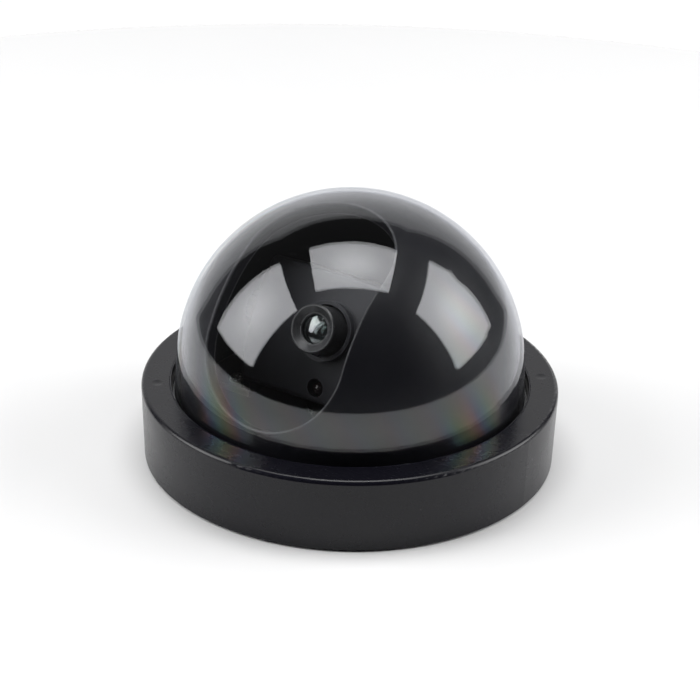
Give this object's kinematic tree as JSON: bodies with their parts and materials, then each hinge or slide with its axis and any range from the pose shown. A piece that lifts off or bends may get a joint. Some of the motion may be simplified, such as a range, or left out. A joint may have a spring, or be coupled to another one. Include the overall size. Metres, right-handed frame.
{
  "type": "dome camera",
  "caption": "Low round dome camera: black twist-lock ring, clear dome, black slotted liner that pans, tilting lens module with a small board lens and lamp.",
  "frame": {"origin": "centre of the base's underside, on the dome's axis", "axes": "+Z out of the mounting surface through the dome's apex; -Y is the side that the lens faces at rest; X is the tilt axis"},
  "size_m": [0.12, 0.12, 0.0785],
  "materials": {
    "ring_plastic": "satin black moulded ABS",
    "clear_dome": "polished clear polycarbonate",
    "liner_plastic": "gloss black",
    "case_plastic": "gloss black",
    "base_plastic": "fine moulded texture",
    "knob_plastic": "moulded",
    "circuit_board": "green solder mask",
    "chip_epoxy": "moulded epoxy",
    "connector_plastic": "nylon",
    "capacitor_can": "bright drawn can",
    "ferrite": "pressed ferrite",
    "black_rubber": "soft",
    "screw_steel": "zinc plated",
    "spring_steel": "rolled",
    "brass": "turned",
    "lens_metal": "black anodised",
    "lens_glass": "coated optical glass",
    "filter_glass": "infrared cut coating",
    "led_epoxy": "smoked red epoxy"
  },
  "bodies": {
    "base": {"base_plate": "base_plastic", "cable_grommet": "black_rubber", "main_board": "circuit_board", "board_screws": "screw_steel", "cable_headers": "connector_plastic", "harness_header": "connector_plastic", "capacitors": "capacitor_can", "power_inductor": "ferrite", "board_chips": "chip_epoxy", "switch_body": "chip_epoxy", "pan_hub": "base_plastic", "hub_screws": "screw_steel", "thrust_washer": "spring_steel", "wave_washer": "spring_steel", "pan_collar": "base_plastic"},
    "button": {"reset_button": "knob_plastic"},
    "pan": {"turntable": "base_plastic", "liner": "liner_plastic", "liner_screws": "screw_steel", "yoke_left": "base_plastic", "yoke_right": "base_plastic", "yoke_screws": "screw_steel"},
    "tilt": {"front_shroud": "case_plastic", "rear_shroud": "case_plastic", "shroud_screws": "screw_steel", "module_bracket": "spring_steel", "sensor_board": "circuit_board", "signal_board": "circuit_board", "board_spacers": "brass", "stack_screws": "screw_steel", "stack_nuts": "brass", "signal_chips": "chip_epoxy", "module_header": "connector_plastic", "lens_holder": "base_plastic", "focus_lock_screw": "screw_steel", "image_sensor": "chip_epoxy", "sensor_glass": "filter_glass", "ir_cut_filter": "filter_glass", "indicator_led": "led_epoxy", "led_board": "circuit_board", "pivot_bushes": "brass", "friction_washers": "spring_steel", "tilt_knobs": "knob_plastic"},
    "focus": {"lens_barrel": "lens_metal", "lens_retainer": "lens_metal", "front_element": "lens_glass", "middle_element": "lens_glass", "rear_element": "lens_glass", "aperture_stop": "lens_metal"},
    "cover": {"cover_ring": "ring_plastic", "clear_dome": "clear_dome", "dome_gasket": "black_rubber", "clamp_ring": "base_plastic", "clamp_screws": "screw_steel"}
  },
  "joints": [
    {"name": "pan", "type": "hinge", "parent": "base", "child": "pan", "pos_m": [0, 0, 0.0125], "axis": [0, 0, 1], "range_deg": [-165, 165]},
    {"name": "tilt", "type": "hinge", "parent": "pan", "child": "tilt", "pos_m": [0, 0, 0.0365], "axis": [-1, 0, 0], "range_deg": [-26, 62]},
    {"name": "focus", "type": "hinge", "parent": "tilt", "child": "focus", "pos_m": [0, 0, 0.0365], "axis": [0, -0.8829, 0.4695], "range_deg": [-180, 180]},
    {"name": "cover_twist", "type": "hinge", "parent": "base", "child": "cover", "pos_m": [0, 0, 0.006], "axis": [0, 0, 1], "range_deg": [0, 20]},
    {"name": "reset_press", "type": "slide", "parent": "base", "child": "button", "axis": [0, 0, -1], "range_m": [0, 0.0003], "stiffness_N_per_m": 3000, "springref_m": -0.0001}
  ]
}
